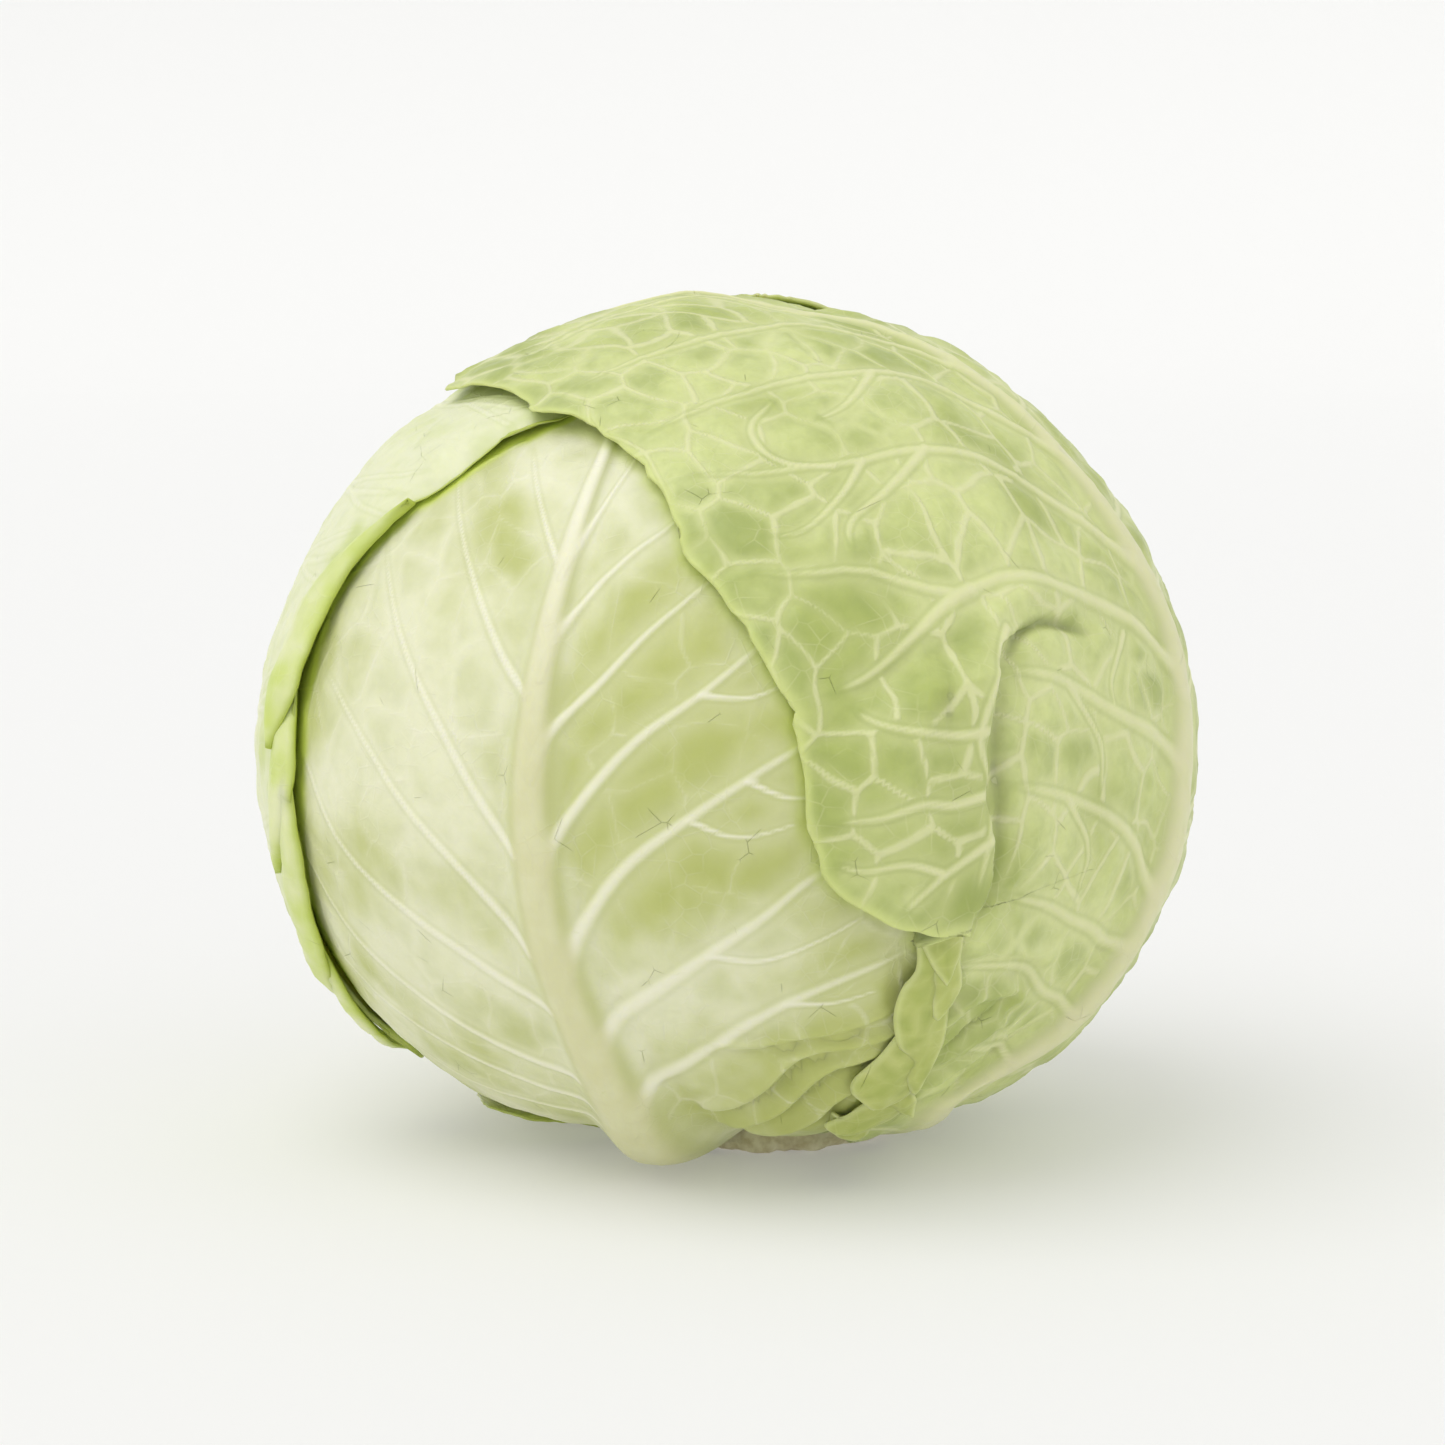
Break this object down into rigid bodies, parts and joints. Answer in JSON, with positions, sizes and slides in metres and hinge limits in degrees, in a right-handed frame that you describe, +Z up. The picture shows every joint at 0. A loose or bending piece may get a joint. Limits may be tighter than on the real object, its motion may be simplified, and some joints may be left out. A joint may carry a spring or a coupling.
{
  "type": "cabbage head",
  "caption": "Round pale-green cabbage head of overlapping wrapped leaves with raised branching veins, standing on its flat cut stalk.",
  "frame": {"origin": "centre of the stalk's flat cut face, on the surface that the head stands on", "axes": "+Z up from the cut face to the crown; -Y is the front, where the front leaf's midrib runs up; +X is the side of the cover leaf"},
  "size_m": [0.1792, 0.18, 0.1605],
  "materials": {
    "stalk": "matt, fibrous, freshly cut",
    "front_leaf": "satin, waxy",
    "left_leaf": "satin, waxy",
    "cover_leaf": "satin, waxy",
    "back_leaf": "satin, waxy",
    "torn_leaf_base": "satin, waxy",
    "heart": "satin, waxy",
    "inner_leaf": "satin, waxy"
  },
  "bodies": {
    "root": {"stalk": "stalk", "front_leaf": "front_leaf", "left_leaf": "left_leaf", "cover_leaf": "cover_leaf", "back_leaf": "back_leaf", "torn_leaf_base": "torn_leaf_base", "heart": "heart", "inner_leaf_1": "inner_leaf", "inner_leaf_2": "inner_leaf", "inner_leaf_3": "inner_leaf", "inner_leaf_4": "inner_leaf", "inner_leaf_5": "inner_leaf", "inner_leaf_6": "inner_leaf"}
  },
  "joints": []
}
